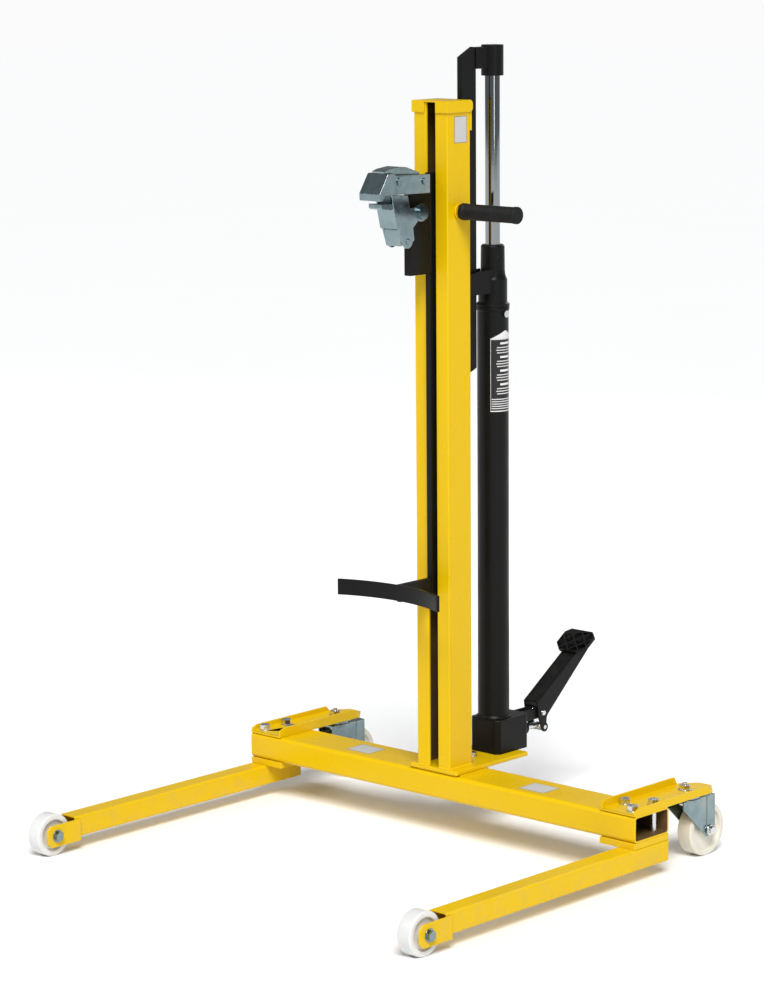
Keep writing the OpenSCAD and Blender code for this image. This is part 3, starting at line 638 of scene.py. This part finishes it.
turned("drawn_jack_tube",
       [(TUBE_BORE_R, 212), (32, 206), (32, 209), (TUBE_R + 0.2, 212), (TUBE_R, 994),
        (31.6, 995.5), (31.6, 1001), (30.8, 1002), (TUBE_BORE_R, 1002)],
       BLACK, "jack_tube", 128, 0.8)
turned("ground_ram_rod",
       [(ON_AXIS, 580), (ROD_R, 580), (ROD_R, 1475), (ROD_R - 0.8, 1476), (ON_AXIS, 1476)],
       CHROME, "ram_rod", 96, 0.4)


# ---- grip and springs -----------------------------------------------------------------

def grip():
    """Rubber grip with fine rings between two end collars."""
    start, end = 51.0, 184.0
    bore, collar, ring, groove = 10.05, 15.8, 15.0, 14.0        # radii
    collar_width, end_wall, pitch = 8, 6, 5.2
    profile = [(bore, start), (collar, start), (collar, start + collar_width)]
    x = start + collar_width + 2
    while x < end - collar_width - 4:
        profile += [(groove, x), (ring, x + 1.0), (ring, x + 3.2), (groove, x + 4.2)]
        x += pitch
    profile += [(collar, end - collar_width), (collar, end - 1.5), (14.3, end), (ON_AXIS, end),
                (ON_AXIS, end - end_wall), (bore, end - end_wall)]
    bm = lathe(profile, 64, along_x((0, MAST_Y, HANDLE_Z)))
    node = "handle_grip"
    add("ribbed_grip", bm, RUBBER, body_of(node), (node,), 40)
    done.add("handle_grip")


COIL_STEPS = 28                           # points in one turn of a spring


def coil(bm, y, z, radius, wire_r, turns):
    """A close coil about an axis along X; the wire is a little thin, so no turns touch."""
    half = turns * wire_r * 1.02
    n = turns * COIL_STEPS
    pts = []
    for i in range(n + 1):
        a = 2 * math.pi * i / COIL_STEPS
        x = -half + 2 * half * i / n
        pts.append((x, y + radius * math.cos(a), z + radius * math.sin(a)))
    sweep(bm, pts, wire_r * 0.94)


def springs():
    """The pedal's return spring, and the jaw's closing spring with the pin it sits on."""
    pedal = bmesh.new()
    coil(pedal, Y(304), 192, 9, 1.7, 3)

    jaw = bmesh.new()
    y, z, pin_r, pin_half = Y(-84), 1145, 5, 22.5
    coil(jaw, y, z, 6.6, 1.6, 6)
    pin = [(ON_AXIS, -pin_half), (pin_r, -pin_half), (pin_r, pin_half), (ON_AXIS, pin_half)]
    lathe(fillet(pin, 0.6), 40, along_x((0, y, z)), jaw)

    for node, bm in (("pedal_spring", pedal), ("jaw_spring", jaw)):
        add("coiled_" + node, bm, ZINC, body_of(node), (node,))
        done.add(node)


grip()
springs()


# ---- welds ----------------------------------------------------------------------------

def welds():
    """Weld beads, joined into one piece on each of the frame, the carriage and the jack."""
    bm = bmesh.new()
    for side in (-1, 1):
        # mast to base plate
        weld(bm, (side * 41, Y(4), 139.5), (side * 41, Y(64), 139.5))
        weld(bm, (side * 13, Y(2), 139.5), (side * 39, Y(2), 139.5))
        weld(bm, (side * 13, Y(66), 139.5), (side * 39, Y(66), 139.5))
        # leg plate to leg tube, base plate to cross beam
        weld(bm, (side * 447, Y(2), 66.5), (side * 447, Y(98), 66.5), 2.2)
        weld(bm, (side * 58, Y(12), 128.5), (side * 58, Y(88), 128.5), 2.2)
        # wheel cheeks to the end of the leg
        for cheek in (-1, 1):
            x = side * LEG_X + cheek * 21
            weld(bm, (x, Y(-499), 29), (x, Y(-499), 58), 2.0)
    # handle bar to mast
    handle = [(44.5, MAST_Y + 14 * math.cos(a), HANDLE_Z + 14 * math.sin(a)) for a in circle(60)]
    sweep(bm, handle, 1.6, closed=True, ripple=0.2)
    add("frame_welds", bm, YELLOW, body_of("cross_beam"), smooth=60)

    bm = bmesh.new()
    for x in (-7, 7):
        # ram head to lift arm, clamp bracket to carriage bar
        weld(bm, (x, Y(123.5), 1450), (x, Y(123.5), 1486), 2.4)
        weld(bm, (x, Y(-7), 1084), (x, Y(-7), 1256), 2.2)
    add("carriage_welds", bm, BLACK, body_of("lift_arm"), smooth=60)

    bm = bmesh.new()
    # jack tube to its block, stay to the mast
    foot = [(31.5 * math.cos(a), JACK_Y + 31.5 * math.sin(a), 207.5) for a in circle(150)]
    sweep(bm, foot, 2.2, closed=True, ripple=BEAD_RIPPLE)
    for x in (-14, 14):
        weld(bm, (x, Y(67), 1033), (x, Y(67), 1064), 2.0)
    add("jack_welds", bm, BLACK, body_of("jack_tube"), smooth=60)


welds()


# ---- labels without any lettering -----------------------------------------------------

LABEL_FROM, LABEL_TO = -58, 62            # degrees round the jack tube
LABEL_LOW, LABEL_TOP = 804, 943           # heights
EDGE_R, FIELD_R, BAR_R = 30.10, 30.16, 30.22
LABEL_BACK_R = TUBE_R + 0.02


def curved(bm, a0, a1, z0, z1, r):
    """A thin panel wrapped on the jack tube between two angles and two heights."""
    n = max(2, int(abs(a1 - a0) / 3))
    grid = []
    for k in range(n + 1):
        a = math.radians(a0 + (a1 - a0) * k / n)
        c, d = math.cos(a), math.sin(a)
        grid.append([bm.verts.new((q * c, JACK_Y + q * d, z)) for q, z in
                     ((LABEL_BACK_R, z0), (r, z0), (r, z1), (LABEL_BACK_R, z1))])
    for k in range(n):
        for i in range(4):
            j = (i + 1) % 4
            bm.faces.new((grid[k][i], grid[k + 1][i], grid[k + 1][j], grid[k][j]))
    bm.faces.new(list(reversed(grid[0])))
    bm.faces.new(grid[-1])


def jack_label():
    """A dark panel with a pale edge, a gabled top and rows of blank bars."""
    body, slot = body_of("jack_tube"), SLOTS["jack_tube"]
    bm = bmesh.new()
    curved(bm, LABEL_FROM, LABEL_TO, LABEL_LOW, LABEL_TOP, EDGE_R)
    strips = 20
    width = (LABEL_TO - LABEL_FROM) // strips
    for k in range(strips):
        gable = 15.5 * (1 - abs(k - 9.5) / 10)
        a = LABEL_FROM + width * k
        curved(bm, a, a + width, LABEL_TOP - 1, LABEL_TOP + gable, EDGE_R)
    add("label_edge", bm, LABEL_WHITE, body)

    bm = bmesh.new()
    curved(bm, LABEL_FROM + 1.5, LABEL_TO - 1.5, LABEL_LOW + 2, LABEL_TOP - 2, FIELD_R)
    add("label_field", bm, LABEL_BLACK, body)

    bm = bmesh.new()
    for group in range(4):
        top = LABEL_TOP - 7 - group * 26
        curved(bm, -22, 26, top - 4, top, BAR_R)
        for row in range(3):
            z = top - 9 - row * 5
            curved(bm, -34 - 3 * (row % 2), 38 + 4 * ((row + group) % 2), z - 1.6, z, BAR_R)
    for row in range(5):
        z = LABEL_LOW + 23 - row * 4.4
        curved(bm, LABEL_FROM + 4, LABEL_TO - 4, z, z + 1.6, BAR_R)
    add("label_bars", bm, LABEL_WHITE, body)


def sticker(name, centre, u, v, w, h):
    """Flat blank sticker: a pale grey field inside a darker grey edge."""
    u, v = Vector(u), Vector(v)
    n = u.cross(v)
    for tag, inset, top, material in (("_edge", 0, 0.16, STICKER_EDGE),
                                      ("_field", 1, 0.22, STICKER_FIELD)):
        x, y = w / 2 - inset, h / 2 - inset
        m = Matrix((u, v, n)).transposed().to_4x4()
        m.translation = Vector(centre) + n * (top / 2)
        bm = plate([(-x, -y), (x, -y), (x, y), (-x, y)], top, m)
        add(name + tag, bm, material, body_of("cross_beam"))


LABEL_WHITE = printed("printed_white", (0.80, 0.80, 0.79), (0.68, 0.68, 0.67))
LABEL_BLACK = printed("printed_black", (0.010, 0.010, 0.011), (0.006, 0.006, 0.007))
STICKER_EDGE = printed("sticker_edge", (0.16, 0.16, 0.165), (0.12, 0.12, 0.125))
STICKER_FIELD = printed("sticker_field", (0.56, 0.56, 0.55), (0.48, 0.48, 0.47))
jack_label()
sticker("left_beam_sticker", (-220, Y(49), 128), (1, 0, 0), (0, 1, 0), 60, 48)
sticker("right_beam_sticker", (225, Y(45), 128), (1, 0, 0), (0, 1, 0), 60, 48)
sticker("mast_sticker", (41, Y(39), 1343), (0, -1, 0), (0, 0, -1), 34, 49)


# ---- CAD nodes that are shown as they are ---------------------------------------------

for node in frame["nodes"]:
    if node not in done:
        mesh = frame["nodes"][node].data
        mesh.materials.clear()
        mesh.materials.append(MATERIAL_OF_SLOT[SLOTS[node]])
        for poly in mesh.polygons:
            poly.use_smooth = True
        mesh.set_sharp_from_angle(angle=math.radians(35))


# ---- floor ----------------------------------------------------------------------------

def floor():
    bm = bmesh.new()
    bmesh.ops.create_grid(bm, x_segments=8, y_segments=8, size=FLOOR_HALF)
    me = bpy.data.meshes.new("floor")
    bm.to_mesh(me)
    bm.free()
    o = bpy.data.objects.new("floor", me)
    scene.collection.objects.link(o)
    me.materials.append(floor_material())


camera()
studio()
floor()
bpy.context.view_layer.update()
